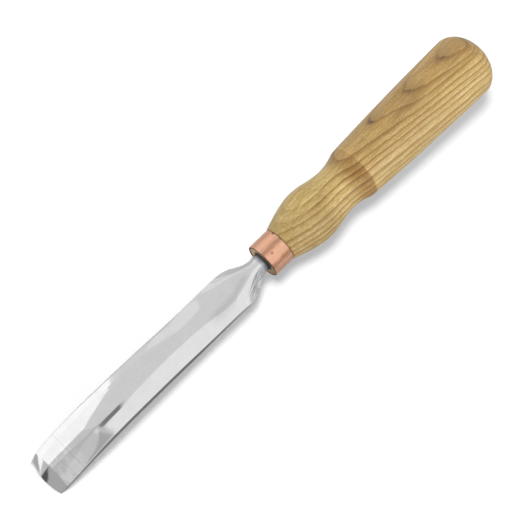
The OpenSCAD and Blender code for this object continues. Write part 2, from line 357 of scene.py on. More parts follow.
def buildFerrule():
    f = ferruleSize
    mouth = (0, f["bore"] + f["innerRound"])
    rear = f["length"] - f["backRound"]
    profile = [mouth]
    profile += [(f["round"] * (1 - math.cos(a)), f["radius"] - f["round"] * (1 - math.sin(a)))
                for a in quarterTurn(f["lipSteps"])]
    profile += [(mix(f["round"], rear, i / f["wallSteps"]), f["radius"]) for i in range(f["wallSteps"] + 1)]
    profile += [(f["length"], f["radius"] - f["backRound"]), (f["length"], f["bore"]), (f["innerRound"], f["bore"])]
    profile.append(mouth)
    piece = startRing("copperFerrule", f["sides"], profile[0][1], profile[0][0])
    extrudeTurned(profile)
    weldMesh()
    outward, mark = punchPlace()
    mark = mark * mm

    def selectNear(reach):
        bpy.ops.mesh.select_mode(type="VERT")
        bpy.ops.mesh.select_all(action="DESELECT")
        mesh = bmesh.from_edit_mesh(piece.data)
        for v in mesh.verts:
            v.select_set((v.co - mark).length < reach)
        mesh.select_flush(True)
        bmesh.update_edit_mesh(piece.data)

    selectNear(f["punchPatch"] * mm)
    bpy.ops.mesh.subdivide(number_cuts=f["punchCuts"], smoothness=1)
    mesh = bmesh.from_edit_mesh(piece.data)
    nearest = min((v.co - mark).length for v in mesh.verts)
    selectNear(nearest + 0.01 * mm)
    bpy.ops.transform.translate(value=-outward * f["punchDepth"] * mm, use_proportional_edit=True,
                                proportional_edit_falloff="SPHERE", proportional_size=f["punchRadius"] * mm)
    closeMesh(f["smoothAngle"])
    print("ferrule:", len(piece.data.polygons), "faces")
    return piece

ferrule = buildFerrule()

# materials: first the small helpers, which add a node or two and return what comes out

def addNode(tree, kind, **values):
    node = tree.nodes.new(kind)
    for key, value in values.items():
        setattr(node, key, value)
    return node

def treeOf(*values):
    return next(value.id_data for value in values if isinstance(value, bpy.types.NodeSocket))

def feed(socket, value):
    if isinstance(value, bpy.types.NodeSocket):
        treeOf(socket).links.new(value, socket)
    elif value is not None:
        socket.default_value = value

def fill(node, values):
    for name, value in values.items():
        feed(node.inputs[name], value)

def calculate(operation, first, second=None, clamp=False):
    node = addNode(treeOf(first, second), "ShaderNodeMath", operation=operation, use_clamp=clamp)
    for socket, value in zip(node.inputs, (first, second)):
        feed(socket, value)
    return node.outputs[0]

def multiply(first, *others):
    for other in others:
        first = calculate("MULTIPLY", first, other)
    return first

def add(first, *others):
    for other in others:
        first = calculate("ADD", first, other)
    return first

def subtract(first, second):
    return calculate("SUBTRACT", first, second)

def absolute(value):
    return calculate("ABSOLUTE", value)

def swing(pattern, amount):
    # a pattern from 0 to 1, moved to lie around zero
    return multiply(subtract(pattern, 0.5), amount)

def scaled(vector, scale, turn=(0, 0, 0), shift=(0, 0, 0)):
    node = addNode(treeOf(vector), "ShaderNodeMapping")
    fill(node, {"Vector": vector, "Scale": scale, "Rotation": turn, "Location": shift})
    return node.outputs[0]

def noise(vector, scale=1, detail=2, rough=0.5):
    node = addNode(treeOf(vector), "ShaderNodeTexNoise")
    fill(node, {"Vector": vector, "Scale": scale, "Detail": detail, "Roughness": rough})
    return node.outputs["Fac"]

def streaks(vector, along, across, detail=2, rough=0.5, turn=(0, 0, 0), shift=(0, 0, 0)):
    # noise with so many waves to the mm along the tool and across it
    return noise(scaled(vector, (along, across, across), turn, shift), 1, detail, rough)

def between(value, low, high, toLow=0, toHigh=1, smooth=False):
    node = addNode(treeOf(value), "ShaderNodeMapRange", interpolation_type="SMOOTHSTEP" if smooth else "LINEAR")
    for socket, v in zip(node.inputs, (value, low, high, toLow, toHigh)):
        feed(socket, v)
    return node.outputs[0]

def fade(value, low, high, toLow=0, toHigh=1):
    return between(value, low, high, toLow, toHigh, True)

def inside(value, start, full, fullEnd, end, smooth=False):
    # 1 from full to fullEnd, and 0 before the start and after the end
    return multiply(between(value, start, full, smooth=smooth),
                    between(value, end, fullEnd, smooth=smooth))

def blendColour(amount, first, second, how="MIX"):
    node = addNode(treeOf(amount, first, second), "ShaderNodeMix", data_type="RGBA", blend_type=how)
    fill(node, {"Factor": amount, "A": first, "B": second})
    return node.outputs["Result"]

def colourRamp(value, stops):
    node = addNode(treeOf(value), "ShaderNodeValToRGB")
    elements = node.color_ramp.elements
    while len(elements) < len(stops):
        elements.new(0.5)
    for element, (position, colour) in zip(elements, stops):
        element.position = position
        element.color = colour
    feed(node.inputs["Fac"], value)
    return node.outputs["Color"]

def greyRamp(value, stops):
    return colourRamp(value, [(position, (grey, grey, grey, 1)) for position, grey in stops])

def newMaterial(name):
    material = bpy.data.materials.new(name)
    material.use_nodes = True
    tree = material.node_tree
    shader = tree.nodes["Principled BSDF"]
    coords = addNode(tree, "ShaderNodeTexCoord")
    inMm = scaled(coords.outputs["Object"], (1000, 1000, 1000))
    return material, shader, inMm

def axesOf(vector):
    node = addNode(treeOf(vector), "ShaderNodeSeparateXYZ")
    feed(node.inputs[0], vector)
    return node.outputs

def bumped(height, strength, depth, under=None):
    node = addNode(treeOf(height), "ShaderNodeBump")
    fill(node, {"Strength": strength, "Distance": depth * mm, "Height": height, "Normal": under})
    return node.outputs["Normal"]

handlingLook = {"smearDetail": 4, "smearRange": (0.35, 0.7), "hairlines": (0.05, 3, 3, 0.6)}

def makeHandlingGroup():
    # faint smears on steel, copper and lacquer, and fine hairlines along the two metals
    group = bpy.data.node_groups.new("handlingMarks", "ShaderNodeTree")
    face = group.interface
    face.new_socket("Vector", in_out="INPUT", socket_type="NodeSocketVector")
    face.new_socket("Smear Scale", in_out="INPUT", socket_type="NodeSocketFloat")
    face.new_socket("Smear", in_out="OUTPUT", socket_type="NodeSocketFloat")
    face.new_socket("Hairlines", in_out="OUTPUT", socket_type="NodeSocketFloat")
    start, end = addNode(group, "NodeGroupInput"), addNode(group, "NodeGroupOutput")
    vector = start.outputs["Vector"]
    smear = noise(vector, start.outputs["Smear Scale"], handlingLook["smearDetail"])
    fill(end, {"Smear": fade(smear, *handlingLook["smearRange"]),
               "Hairlines": streaks(vector, *handlingLook["hairlines"])})
    return group

handlingGroup = makeHandlingGroup()

def handlingMarks(vector, smearScale):
    node = addNode(treeOf(vector), "ShaderNodeGroup", node_tree=handlingGroup)
    fill(node, {"Vector": vector, "Smear Scale": smearScale})
    return node.outputs["Smear"], node.outputs["Hairlines"]

steelLook = {
    "colour": (0.815, 0.815, 0.825, 1), "dull": (0.755, 0.755, 0.765, 1), "hazeAndHighlight": (0.93, 0.93, 0.93, 1),
    "groundLine": (0.62, 0.62, 0.63, 1), "smudge": (0.65, 0.65, 0.66, 1), "creaseShade": (0.36, 0.36, 0.38, 1),
    "shankShade": (0.34, 0.36, 0.39, 1), "mouthShade": (0.14, 0.15, 0.17, 1),
    "roughness": (0.04, 0.13), "mouthShadeRoughness": 0.45, "smearScale": 0.12, "smearShare": 0.5,
    # patterns: waves to the mm along and across, detail, roughness
    "wobble": (0.04, 0.09, 1), "cross": (2.5, 0.06, 3, 0.6), "mist": (0.9, 1.1, 3, 0.7),
    "mottle": (0.55, 0.28, 4, 0.7), "filedTurn": -0.3, "filedStretch": (0.1, 1.3, 0.5), "filedNoise": (1, 3, 0.65),
    # where a finish starts and where it is full, and then its least and its most
    "onBack": (-1, 0.8), "front": (-108, -124), "ground": (-139, -142), "groundDepth": 2,
    "fan": (-11, -26, 2.4, 8.4), "flankEdge": (0, 0.8), "flankAlong": (-27, -22), "flankSide": (-2, 2, 1, 0.25),
    "mistDull": (0.3, 0.7, 0, 0.5), "mottleRange": (0.40, 0.58), "hazeFrom": (-124, -128),
    "hazeTo": (-139.5, -138.5), "hazeSide": (3, 1), "hazeDepth": 0.9,
    "groundLines": ((-127.2, 0.3, 0.5), (-128.9, 0.45, 0.8)),  # place, half width, depth
    "smudgeAlong": (-46, -38, -20, -14), "smudgeCrest": (-28, -18, -3.4, -0.7), "smudgeOver": (3, 0),
    "smudgeReach": (-31, -26, -5.5, -1.2), "smudgeFull": -0.4, "smudgeMist": (0.3, 0.65, 0.55, 1),
    "creaseOut": 0.3, "creaseHalf": (0.75, 0.1, 0, 0.8), "creaseAlong": (-25, -18), "creaseSide": (-1, 1, 1, 0.3),
    "fileShadeRange": (0.5, 0.66, 0, 0.6), "fileShadeAlong": (-8, -12, 0.4, 1), "filedShine": (0.36, 0.5, 0.9, 0),
    "shankShadeFrom": (-9.4, -7.4), "mouthShadeFrom": (-7.5, -6.5),
    # bumps: strength, and depth in mm
    "wobbleBump": (0.6, 0.16), "filedBump": (1, 0.6), "hairlineBump": (0.05, 0.02), "crossBump": (0.08, 0.02),
}

def makeSteel():
    s = steelLook
    material, shader, inMm = newMaterial("mirrorSteel")
    smear, hairlines = handlingMarks(inMm, s["smearScale"])
    wobble = streaks(inMm, *s["wobble"])  # hand-polished unevenness
    cross = streaks(inMm, *s["cross"])  # grinding marks across the front end
    mist = streaks(inMm, *s["mist"])
    x, y, z = axesOf(inMm)
    onBack = between(z, *s["onBack"])
    ground = multiply(between(x, *s["ground"]), s["groundDepth"])
    crossHeight = multiply(cross, add(fade(x, *s["front"]), ground))
    fan = between(x, *s["fan"])  # half width of the crest that fans out from the shank
    offFan = subtract(absolute(y), fan)
    flank = multiply(fade(offFan, *s["flankEdge"]), fade(x, *s["flankAlong"]),
                     between(y, *s["flankSide"]))
    fileWay = scaled(inMm, (1, 1, 1), turn=(0, 0, s["filedTurn"]))
    filed = noise(scaled(fileWay, s["filedStretch"]), *s["filedNoise"])
    filed = multiply(filed, flank)  # file marks beside the crest

    uneven = add(multiply(smear, s["smearShare"]), between(mist, *s["mistDull"]))
    mottle = between(streaks(inMm, *s["mottle"]), *s["mottleRange"])
    mottle = multiply(mottle, fade(x, *s["hazeFrom"]), between(x, *s["hazeTo"]),
                      between(y, *s["hazeSide"]), s["hazeDepth"])
    layers = [(uneven, "dull"), (mottle, "hazeAndHighlight")]  # haze from the fine stone
    for place, half, depth in s["groundLines"]:
        mark = between(absolute(subtract(x, place)), half, 0, 0, depth)
        layers.append((multiply(mark, mist), "groundLine"))
    offCrest = subtract(y, between(x, *s["smudgeCrest"]))
    reach = between(x, *s["smudgeReach"])
    smudge = multiply(inside(x, *s["smudgeAlong"], smooth=True), fade(offCrest, *s["smudgeOver"]),
                      fade(offCrest, reach, s["smudgeFull"]), between(mist, *s["smudgeMist"]), onBack)
    layers.append((smudge, "smudge"))  # left dull beside the crest
    creaseShade = fade(absolute(subtract(offFan, s["creaseOut"])), *s["creaseHalf"])
    creaseShade = multiply(creaseShade, fade(x, *s["creaseAlong"]), between(y, *s["creaseSide"]), onBack)
    layers.append((creaseShade, "creaseShade"))  # painted shade: a dark line where the filed flank meets the crest
    # painted shade in the high parts of the file marks on the flank, and a painted highlight in their low parts
    fileMarkShade = multiply(between(filed, *s["fileShadeRange"]), between(x, *s["fileShadeAlong"]))
    fileMarkHighlight = multiply(flank, between(filed, *s["filedShine"]))
    # painted shade: the shank turns bluish dark as it nears the mouth
    layers += [(fileMarkShade, "creaseShade"), (fileMarkHighlight, "hazeAndHighlight"), (fade(x, *s["shankShadeFrom"]), "shankShade")]
    mouthShade = fade(x, *s["mouthShadeFrom"])
    layers.append((mouthShade, "mouthShade"))  # painted shade: the shank near black where it goes into the ferrule's mouth, and rougher there
    body = s["colour"]
    for amount, colour in layers:
        body = blendColour(amount, body, s[colour])

    polish = between(smear, 0, 1, *s["roughness"])
    normal = bumped(wobble, *s["wobbleBump"])
    normal = bumped(filed, *s["filedBump"], normal)
    normal = bumped(hairlines, *s["hairlineBump"], normal)
    fill(shader, {"Base Color": body, "Metallic": 1, "Normal": bumped(crossHeight, *s["crossBump"], normal),
                  "Roughness": between(mouthShade, 0, 1, polish, s["mouthShadeRoughness"])})
    return material

copperLook = {
    "colour": (0.86, 0.48, 0.325, 1), "tarnish": (0.11, 0.03, 0.018, 1), "roughness": (0.26, 0.42),
    "smearScale": 0.35, "hairlineBump": (0.25, 0.05),
    # patterns: waves to the mm along and across, detail, roughness
    "fine": (0.35, 2.4, 3, 0.6), "sway": (0.22, 0.6, 2), "swayReach": 1.6, "fineTone": (0.3, 0.7, 1.08, 0.92),
    # painted reflection: light and dark bands along the tube at fixed places across it: place across, half width,
    # change of tone
    "paintedBands": ((0, 1.7, -0.25), (-6.7, 1.3, -0.42), (6, 1.3, -0.14), (3.3, 1.7, 0.12), (-2.7, 1.6, 0.1),
                  (-8.4, 1.1, 0.08)),
    "deepening": (0.55, 1, 1.15, 1),
    "raggedReach": 0.9, "rearEdge": (5.2, 5.85, 0, 0.85), "mouthEdge": (-5.72, -5.92, 0, 0.95),
    "stains": (0.5, 0.35, 4, 0.65), "stainShift": (3.1, 0, 0), "stainRange": (0.62, 0.78, 0, 0.3),
    # a stain at the rear edge and dirt in the punch mark: reach in mm, depth
    "stainAt": (5.7, 4.2, 8.0), "stainSpot": (1.3, 0.8), "punchSpot": (0.6, 0.7),
}

def makeCopper():
    c = copperLook
    material, shader, inMm = newMaterial("satinCopper")
    smear, hairlines = handlingMarks(inMm, c["smearScale"])
    fine = streaks(inMm, *c["fine"])
    x, y = axesOf(inMm)[:2]
    across = add(y, swing(streaks(inMm, *c["sway"]), c["swayReach"]))
    tone = between(fine, *c["fineTone"])
    # painted reflection: light and dark bands added to the copper's tone
    for place, half, change in c["paintedBands"]:
        tone = add(tone, fade(absolute(subtract(across, place)), half, 0, 0, change))
    body = addNode(treeOf(tone), "ShaderNodeHueSaturation")
    fill(body, {"Color": c["colour"], "Value": tone, "Saturation": between(tone, *c["deepening"])})
    ragged = add(x, swing(fine, c["raggedReach"]))
    ends = calculate("MAXIMUM", between(ragged, *c["rearEdge"]), between(x, *c["mouthEdge"]))
    stain = between(streaks(inMm, *c["stains"], shift=c["stainShift"]), *c["stainRange"])
    for place, (reach, depth) in ((c["stainAt"], c["stainSpot"]), (punchPlace()[1], c["punchSpot"])):
        gap = addNode(treeOf(inMm), "ShaderNodeVectorMath", operation="DISTANCE")
        feed(gap.inputs[0], inMm)
        gap.inputs[1].default_value = place
        away = add(gap.outputs["Value"], subtract(fine, 0.5))
        stain = calculate("MAXIMUM", stain, between(away, reach, reach / 2, 0, depth))
    tarnish = calculate("MAXIMUM", stain, ends)
    fill(shader, {"Base Color": blendColour(tarnish, body.outputs[0], c["tarnish"]), "Metallic": 1,
                  "Roughness": between(smear, 0, 1, *c["roughness"]),
                  "Normal": bumped(hairlines, *c["hairlineBump"])})
    return material

ashLook = {
    "deep": (0.40, 0.235, 0.062, 1), "light": (0.59, 0.405, 0.13, 1), "pale": (0.82, 0.65, 0.32, 1),
    "amber": (0.40, 0.215, 0.055, 1), "line": (0.27, 0.125, 0.03, 1), "heart": (0.27, 0.18, 0.08, 1),
    "knot": (0.095, 0.045, 0.022, 1), "pore": (0.2, 0.1, 0.03, 1), "coveShade": (0.62, 0.50, 0.29, 1),
    "scuff": (0.84, 0.70, 0.40, 1), "litTenonEnd": (0.70, 0.50, 0.22, 1), "tenonShade": (0.36, 0.23, 0.09, 1),
    "sapAndLitTint": (0.955, 0.955, 0.975, 1), "midTint": (0.82, 0.77, 0.69, 1), "heartAndShadeTint": (0.84, 0.75, 0.65, 1),
    "bulbTint": (0.89, 0.89, 0.83, 1), "bulbShadeTint": (0.73, 0.72, 0.67, 1),
    "waistTint": (0.945, 0.965, 0.98, 1), "gripTint": (0.935, 0.94, 0.96, 1),
    "roughness": (0.42, 0.52), "coat": 0.2, "coatRoughness": 0.3, "smearScale": 0.08, "grainBump": (0.25, 0.08),
    # growth rings in mm, with wide years as (start, end, years lost)
    "ringSpacing": 2.7, "ringAngle": 38, "pith": 80, "grainSlope": 0.093, "ringShift": 0.60,
    "ringLean": 0.22, "leanReach": 8, "leanAlong": (82, 102), "leanHeight": (8, 13), "crowded": (62, 42, 0, 0.95),
    "wideYears": ((58.4, 62.5, 0.6), (71.3, 75, 0.55)),
    "wanderReach": 0.8, "rippleReach": 0.6, "jagReach": (0.6, 0.12),
    # through one year, from its line to the next: strength of the early wood and of the amber behind it
    "early": ((0, 1), (0.09, 0.85), (0.2, 0.4), (0.36, 0.14), (0.6, 0.03), (0.94, 0), (1, 1)),
    "amberYear": ((0, 1), (0.1, 0.9), (0.3, 0.45), (0.55, 0.1), (0.75, 0), (0.94, 0), (1, 1)),
    # patterns: waves to the mm along and across, detail, roughness
    "wander": (0.02, 0.06, 2), "ripple": (0.07, 0.7, 3), "jag": (1.2, 1.6, 2), "fibre": (0.09, 2.2, 4, 0.7),
    "streak": (0.014, 0.6, 3, 0.6), "speckle": (1.1, 2.1, 3, 0.7), "pores": (0.2, 3.4, 2),
    "cloud": (0.035, 0.12, 3), "scuffs": (0.5, 0.9, 3, 0.6), "scuffTurn": (0, 0, 0.7), "checks": (0.7, 2.6, 2),
    "fibreShare": 0.4, "streakShare": 0.25, "speckleShare": 0.35, "yearShare": 0.06,
    "toneStops": (0.38, 0.5, 0.62),
    # the rings' points on the upper side, and the plain top of the bulb: where each starts and where it is full
    "peakAcross": (8, 2.5), "peakHeight": (6, 11), "pointAcross": (5.5, 0.8), "pointAlong": (58, 74),
    "pointShift": 3.4, "pointFade": (86, 100, 1, 0.75), "behindPoint": (0.55, 0.97),
    "behindFibre": (0.36, 0.58, 0.3, 1), "behindDepth": 0.8,
    "plainFrom": (18, 38, 8, 10.8), "plainEdge": (0, 2), "plainAlong": (46, 40), "plainLines": 0.12,
    # how strong the lines, the amber, the pores and the heartwood are
    "yearStrength": (0.6, 1), "bulbLines": (26, 38, 0.7, 1), "gripLines": (46, 60, 1, 0.8),
    "gripAmber": (46, 60, 1, 0.6), "amberDepth": (0.65, 0.35), "brokenLines": (0.34, 0.58, 0.45, 1.15),
    "thinning": (1, 4), "lineDepth": (-0.4, 1, 1.3, 0.6),
    "poreRange": (0.57, 0.68), "poreYear": (0.02, 0.6, 0.25, 1), "poreDepth": 0.4, "fibreHeight": 0.35,
    "cloudRange": (0.38, 0.62), "heartHeight": (7, 14), "heartAlong": (40, 56), "heartDepth": 0.3,
    # where each tint and mark lies
    "tintHeight": (-2, 16), "tintMiddle": 0.6, "bulbTop": (9, 14), "waistAlong": (29, 39), "handleAlong": (45, 52),
    "gripAlong": (57, 63, 94, 112), "coveAlong": (42, 53, 56.2, 57.4), "coveTop": (8, 13, 1, 0.5),
    "scuffRange": (0.69, 0.76, 0, 0.3), "checkRange": (0.60, 0.68, 0, 0.8), "checkAlong": (131, 135),
    "checkTop": (9, 12), "tenonShadeSide": (-1, -5), "tenonAlong": (-5.2, -5.5, 0, 0.8),
}

def makeAsh():
    a = ashLook
    material, shader, inMm = newMaterial("turnedAsh")
    smear = handlingMarks(inMm, a["smearScale"])[0]
    turned = addNode(treeOf(inMm), "ShaderNodeVectorRotate", rotation_type="X_AXIS")
    fill(turned, {"Vector": inMm, "Angle": math.radians(a["ringAngle"])})  # the ring normal comes to stand on Z
    x, y, z = axesOf(turned.outputs[0])

    # growth rings: depth in the tree, then years and the season within each
    toPith = subtract(a["pith"], z)
    fromPith = calculate("SQRT", add(multiply(toPith, toPith), multiply(y, y)))
    depth = subtract(fromPith, multiply(x, a["grainSlope"]))
    upper = between(z, *a["peakHeight"])
    peak = multiply(fade(absolute(y), *a["peakAcross"]), upper)
    jagReach = between(peak, 0, 1, *a["jagReach"])
    for pattern, reach in (("wander", a["wanderReach"]), ("ripple", a["rippleReach"]), ("jag", jagReach)):
        depth = add(depth, swing(streaks(inMm, *a[pattern]), reach))
    leaningFrom = fade(x, *a["leanAlong"])
    leaning = multiply(leaningFrom, fade(z, *a["leanHeight"]))
    leanBy = add(multiply(y, a["ringLean"]), a["ringLean"] ** 2 * a["leanReach"])
    depth = add(depth, multiply(leaning, leanBy))  # the tree leaned, so the rings tip over
    depth = subtract(depth, between(x, *a["crowded"]))
    years = add(calculate("DIVIDE", depth, a["ringSpacing"]), a["ringShift"])
    for start, end, lost in a["wideYears"]:  # two good summers
        years = subtract(years, between(depth, start, end, 0, lost))
    season = calculate("FRACT", years)
    early = greyRamp(season, a["early"])
    yearTint = addNode(treeOf(years), "ShaderNodeTexWhiteNoise", noise_dimensions="1D")
    feed(yearTint.inputs["W"], calculate("FLOOR", years))

    # plain wood, palest before the next line
    fibre, streak, speckle = (streaks(inMm, *a[name]) for name in ("fibre", "streak", "speckle"))
    tone = add(multiply(fibre, a["fibreShare"]), multiply(streak, a["streakShare"]),
               multiply(speckle, a["speckleShare"]), swing(season, a["yearShare"]))
    wood = colourRamp(tone, list(zip(a["toneStops"], (a["deep"], a["light"], a["pale"]))))

    # amber behind each line, pores and darker heartwood
    quiet = fade(subtract(z, between(x, *a["plainFrom"])), *a["plainEdge"])
    quiet = multiply(quiet, fade(x, *a["plainAlong"]))  # plain top of the bulb
    strength = multiply(between(yearTint.outputs["Value"], 0, 1, *a["yearStrength"]),
                        between(quiet, 0, 1, 1, a["plainLines"]), between(x, *a["bulbLines"]),
                        between(x, *a["gripLines"]))
    amber = multiply(greyRamp(season, a["amberYear"]), strength,
                     between(peak, 0, 1, *a["amberDepth"]), between(x, *a["gripAmber"]))
    wood = blendColour(amber, wood, a["amber"])
    pores = between(streaks(inMm, *a["pores"]), *a["poreRange"])
    pores = multiply(pores, between(early, *a["poreYear"]))
    wood = blendColour(multiply(pores, a["poreDepth"]), wood, a["pore"])
    heart = multiply(fade(streaks(inMm, *a["cloud"]), *a["cloudRange"]),
                     fade(z, *a["heartHeight"]), fade(x, *a["heartAlong"]), a["heartDepth"])
    wood = blendColour(heart, wood, a["heart"])

    # the rings run out in points on the upper side, with dark wood behind them
    fromPoint = absolute(add(y, between(leaningFrom, 0, 1, 0, a["pointShift"])))
    crest = multiply(fade(fromPoint, *a["pointAcross"]), upper, fade(x, *a["pointAlong"]),
                     between(x, *a["pointFade"]))
    behindPoint = multiply(crest, between(season, *a["behindPoint"]),
                           between(fibre, *a["behindFibre"]), a["behindDepth"])
    wood = blendColour(behindPoint, wood, a["heart"])
    thin = calculate("POWER", early, between(peak, 0, 1, *a["thinning"]))
    line = multiply(thin, calculate("MAXIMUM", strength, crest), between(fibre, *a["brokenLines"]))
    lineDepth = between(subtract(peak, crest), *a["lineDepth"])
    line = calculate("MULTIPLY", line, lineDepth, clamp=True)
    wood = blendColour(line, wood, blendColour(crest, a["line"], a["knot"]))

    # tints, partly the wood's own and partly painted light and shade: lighter on the sapwood side below, darker
    # towards the heart side above, the bulb painted darker below its top, and tints from the bulb to the butt
    tint = colourRamp(between(z, *a["tintHeight"]),
                      [(0, a["sapAndLitTint"]), (a["tintMiddle"], a["midTint"]), (1, a["heartAndShadeTint"])])
    bulbTint = blendColour(fade(z, *a["bulbTop"]), a["bulbShadeTint"], a["bulbTint"])
    bulbTint = blendColour(fade(x, *a["waistAlong"]), bulbTint, a["waistTint"])
    tint = blendColour(fade(x, *a["handleAlong"]), bulbTint, tint)
    wood = blendColour(1, wood, tint, "MULTIPLY")
    wood = blendColour(inside(x, *a["gripAlong"]), wood, a["gripTint"], "MULTIPLY")
    coveShadeMask = multiply(inside(x, *a["coveAlong"], smooth=True), between(z, *a["coveTop"]))
    wood = blendColour(coveShadeMask, wood, a["coveShade"], "MULTIPLY")  # painted shade: the cove facing the blade darkened, less so towards its top

    # pale scuffs from the hand and the bench, drying checks at the butt, and the end of the tenon painted lighter,
    # with painted shade on its -Y side
    scuff = between(streaks(inMm, *a["scuffs"], turn=a["scuffTurn"]), *a["scuffRange"])
    wood = blendColour(scuff, wood, a["scuff"])
    checks = multiply(between(streaks(inMm, *a["checks"]), *a["checkRange"]),
                      between(x, *a["checkAlong"]), between(z, *a["checkTop"]))
    wood = blendColour(checks, wood, a["knot"])
    # painted light on the tenon's end face, with painted shade on its -Y side
    tenonShadeSide = fade(axesOf(inMm)[1], *a["tenonShadeSide"])
    litTenonEnd = blendColour(tenonShadeSide, a["litTenonEnd"], a["tenonShade"])
    wood = blendColour(between(x, *a["tenonAlong"]), wood, litTenonEnd)

    grainHeight = subtract(multiply(fibre, a["fibreHeight"]), pores)
    fill(shader, {"Base Color": wood, "Roughness": between(smear, 0, 1, *a["roughness"]), "Coat Weight": a["coat"],
                  "Coat Roughness": a["coatRoughness"], "Normal": bumped(grainHeight, *a["grainBump"])})
    return material

adhesiveLook = {"deep": (0.012, 0.014, 0.02, 1), "raised": (0.055, 0.06, 0.072, 1), "lumps": (0.9, 4, 0.6),
                "roughness": (0.3, 0.7, 0.3, 0.6), "bump": (0.4, 0.2)}

def makeAdhesive():
    material, shader, inMm = newMaterial("darkAdhesive")
    lumps = noise(inMm, *adhesiveLook["lumps"])
    fill(shader, {"Base Color": blendColour(lumps, adhesiveLook["deep"], adhesiveLook["raised"]),
                  "Roughness": between(lumps, *adhesiveLook["roughness"]),
                  "Normal": bumped(lumps, *adhesiveLook["bump"])})
    return material

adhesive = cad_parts["tang_adhesive"]  # the adhesive's solid has its right shape already
finishes = ((blade, makeSteel()), (handle, makeAsh()), (ferrule, makeCopper()), (adhesive, makeAdhesive()))
for piece, material in finishes:
    piece.data.materials.clear()
    piece.data.materials.append(material)
handle.visible_diffuse = ferrule.visible_diffuse = False  # keeps warm bounce light off the pale floor
print("materials: done")

for piece, node, slot in ((blade, "blade", "polished_steel"), (handle, "handle", "ash"),
                          (ferrule, "ferrule", "copper")):
    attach(piece, "root")
    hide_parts(node)

# stage: floor, camera, light and studio panels

scene = bpy.context.scene
scene.view_settings.view_transform = "Standard"

floorLook = {
    "size": 8, "gap": 0.2, "tipBefore": -100,
    "colour": (0.868, 0.872, 0.876, 1), "roughness": 0.9, "glow": 0.13,
    # what polish sees of it: shaded beside the tool, light behind the shoulder, bright ahead with a dark band
    "shadeAcross": (-10, 40, 0.47, 0.64), "besideFrom": (-70, -25), "besideTo": (10, -5),
    "besideAlong": (-147, -141, -40, -20), "besideLevel": 0.2,
    "behindAt": 26, "behindSlant": 0.87, "behindHalf": (15, 8), "behindFrom": (-36, -46), "behindLevel": 0.85,
    "aheadAlong": (-143, -147), "aheadAcross": (0, 8), "aheadLevel": 1.15,
    "bandX": 145, "bandY": 16.3, "bandSlant": 0.371, "bandHalf": (6.5, 3.5), "bandLevel": 0.47,
}

def glossFloorLevel(inMm):
    # the floor's brightness as gloss sees it: a grey level, with a painted shadow beside the tool, a lighter patch
    # behind the shoulder, and a bright area ahead with a dark band
    f = floorLook
    x, y = axesOf(inMm)[:2]
    beside = multiply(fade(y, *f["besideFrom"]), between(y, *f["besideTo"]),
                      inside(x, *f["besideAlong"]))
    level = between(beside, 0, 1, between(y, *f["shadeAcross"]), f["besideLevel"])
    offBehind = absolute(add(x, f["behindAt"], multiply(y, f["behindSlant"])))
    behind = multiply(between(offBehind, *f["behindHalf"]), between(y, *f["behindFrom"]))
    level = between(behind, 0, 1, level, f["behindLevel"])
    ahead = multiply(between(x, *f["aheadAlong"]), between(y, *f["aheadAcross"]))
    level = between(ahead, 0, 1, level, f["aheadLevel"])
    offBand = add(subtract(y, f["bandY"]), multiply(add(x, f["bandX"]), f["bandSlant"]))
    band = fade(absolute(offBand), *f["bandHalf"])
    return between(multiply(band, ahead), 0, 1, level, f["bandLevel"])

def makeFloor():
    f = floorLook
    tip = min((v.co for v in blade.data.vertices if v.co.x < f["tipBefore"] * mm), key=lambda co: co.z)
    # the tool rests on the corners of its edge and on its handle
    lean = max(math.atan2(tip.z - v.co.z, v.co.x - tip.x) for v in handle.data.vertices)
    print("floor: leans", round(math.degrees(lean), 2), "degrees")
    deselectAll()
    height = tip.z + tip.x * math.tan(lean) - f["gap"] * mm
    bpy.ops.mesh.primitive_plane_add(size=f["size"], location=(0, 0, height), rotation=(0, lean, 0))
    floor = bpy.context.active_object
    floor.name = "studioFloor"
    material, shader, inMm = newMaterial("paleFloor")
    fill(shader, {"Base Color": f["colour"], "Roughness": f["roughness"], "Specular IOR Level": 0,
                  "Emission Color": (1, 1, 1, 1), "Emission Strength": f["glow"]})
    tree = material.node_tree
    glow = addNode(tree, "ShaderNodeEmission")
    feed(glow.inputs["Strength"], glossFloorLevel(inMm))
    chosen = addNode(tree, "ShaderNodeMixShader")
    feed(chosen.inputs[0], addNode(tree, "ShaderNodeLightPath").outputs["Is Glossy Ray"])
    feed(chosen.inputs[1], shader.outputs[0])
    feed(chosen.inputs[2], glow.outputs[0])
    feed(tree.nodes["Material Output"].inputs["Surface"], chosen.outputs[0])
    floor.data.materials.append(material)

cameraPlace = {"tilt": 13, "roll": 14, "twist": 44.23, "distance": 0.630, "viewWidth": 0.2426, "sensor": 36,
               "frame": 525, "shift": (0.1, -0.8)}  # the shift is in pixels of the frame

def makeCamera():
    c = cameraPlace
    tilt, roll, twist = (math.radians(c[k]) for k in ("tilt", "roll", "twist"))
    back = Vector((-math.sin(tilt), -math.sin(roll) * math.cos(tilt), math.cos(roll) * math.cos(tilt)))
    along = (Vector((1, 0, 0)) - back * back.x).normalized()
    over = back.cross(along)
    right = along * math.cos(twist) - over * math.sin(twist)
    up = along * math.sin(twist) + over * math.cos(twist)
    data = bpy.data.cameras.new("photoCamera")
    data.sensor_width = c["sensor"]
    data.lens = c["sensor"] * c["distance"] / c["viewWidth"]
    data.shift_x, data.shift_y = (pixels / c["frame"] for pixels in c["shift"])
    camera = bpy.data.objects.new("photoCamera", data)
    scene.collection.objects.link(camera)
    place = Vector((mouthX, 0, 0)) + back * c["distance"]
    camera.matrix_world = Matrix.Translation(place) @ Matrix((right, up, back)).transposed().to_4x4()
    scene.camera = camera

